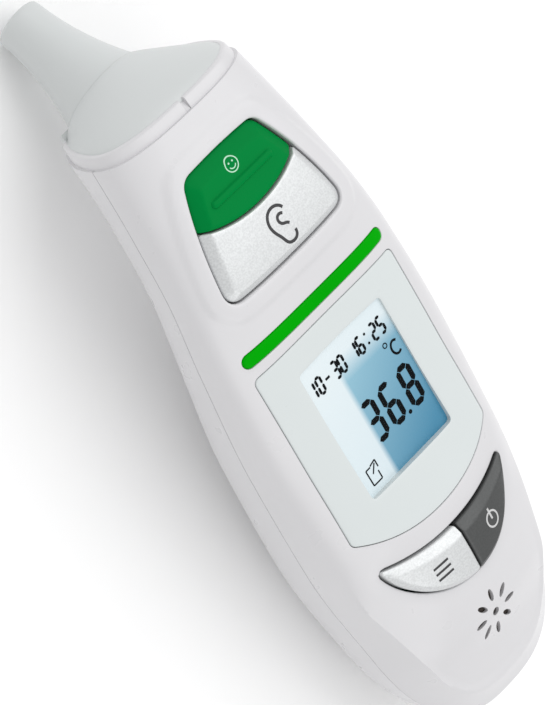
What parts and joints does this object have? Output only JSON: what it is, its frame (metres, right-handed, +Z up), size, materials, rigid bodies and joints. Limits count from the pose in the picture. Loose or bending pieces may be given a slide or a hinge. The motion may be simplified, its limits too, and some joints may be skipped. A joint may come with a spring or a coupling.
{
  "type": "digital ear thermometer",
  "caption": "Handheld infrared thermometer with a curved ear probe, display, sprung buttons, speaker and battery cover.",
  "frame": {"origin": "centre of the resting footprint's box, on the surface that the thermometer lies on", "axes": "+Z up with the display facing up, +Y from the rounded lower end towards the probe, +X to the right of the display"},
  "size_m": [0.0444, 0.1403, 0.035],
  "materials": {
    "shell_white": "smooth satin-gloss white ABS",
    "probe_white": "smooth satin white ABS, a little cooler",
    "key_green": "glossy moulded green",
    "key_silver": "silver paint with a fine metallic grain",
    "key_grey": "dark silver paint with a fine metallic grain",
    "light_green": "translucent green light guide",
    "lens_grey": "clear panel with pale grey back print",
    "lcd_blue": "blue-lit liquid crystal glass",
    "frame_white": "matt white moulding",
    "diffuser": "matt light diffuser",
    "silicone": "soft matt silicone",
    "elastomer": "striped conductive elastomer",
    "board_green": "green solder mask",
    "chip_black": "matt black epoxy",
    "led_white": "clear epoxy",
    "brass": "turned",
    "gold_tube": "polished gold plate",
    "sensor_steel": "drawn steel can",
    "window_clear": "clear window",
    "seal_black": "soft matt rubber",
    "flex_amber": "amber ribbon",
    "tray_black": "matt black moulding",
    "cell_jacket": "printed film jacket",
    "spring_steel": "nickel plated",
    "screw_steel": "zinc plated"
  },
  "bodies": {
    "casing": {"front_shell": "shell_white", "rear_shell": "shell_white", "snap_collar": "shell_white", "probe_housing": "probe_white", "probe_bracket": "frame_white", "probe_window": "window_clear", "waveguide_tube": "gold_tube", "thermopile_can": "sensor_steel", "sensor_holder": "brass", "sensor_seal": "seal_black", "sensor_board": "board_green", "sensor_flex": "flex_amber", "forehead_dome": "silicone", "ear_dome": "silicone", "memory_dome": "silicone", "set_dome": "silicone", "light_bar": "light_green", "status_leds": "led_white", "lens_panel": "lens_grey", "lcd_glass": "lcd_blue", "lcd_frame": "frame_white", "backlight": "diffuser", "zebra_strips": "elastomer", "main_board": "board_green", "mcu_chip": "chip_black", "board_components": "chip_black", "buzzer": "chip_black", "buzzer_gasket": "seal_black", "battery_tray": "tray_black", "left_cell": "cell_jacket", "right_cell": "cell_jacket", "battery_springs": "spring_steel", "contact_plates": "spring_steel", "case_screws": "screw_steel"},
    "forehead_key": {"forehead_button": "key_green"},
    "ear_key": {"ear_button": "key_silver"},
    "memory_key": {"memory_button": "key_silver"},
    "set_key": {"set_button": "key_grey"},
    "cover": {"battery_cover": "shell_white"}
  },
  "joints": [
    {"name": "forehead_key_press", "type": "slide", "parent": "casing", "child": "forehead_key", "axis": [0, -0.0109, -0.9999], "range_m": [0, 0.0006], "stiffness_N_per_m": 1200, "deforming": ["forehead_dome"]},
    {"name": "ear_key_press", "type": "slide", "parent": "casing", "child": "ear_key", "axis": [0, -0.0109, -0.9999], "range_m": [0, 0.0006], "stiffness_N_per_m": 1200, "deforming": ["ear_dome"]},
    {"name": "memory_key_press", "type": "slide", "parent": "casing", "child": "memory_key", "axis": [0, 0.1145, -0.9934], "range_m": [0, 0.0006], "stiffness_N_per_m": 1200, "deforming": ["memory_dome"]},
    {"name": "set_key_press", "type": "slide", "parent": "casing", "child": "set_key", "axis": [0, 0.1145, -0.9934], "range_m": [0, 0.0006], "stiffness_N_per_m": 1200, "deforming": ["set_dome"]},
    {"name": "battery_cover_lift", "type": "slide", "parent": "casing", "child": "cover", "axis": [0, 0.1145, -0.9934], "range_m": [0, 0.04]}
  ]
}
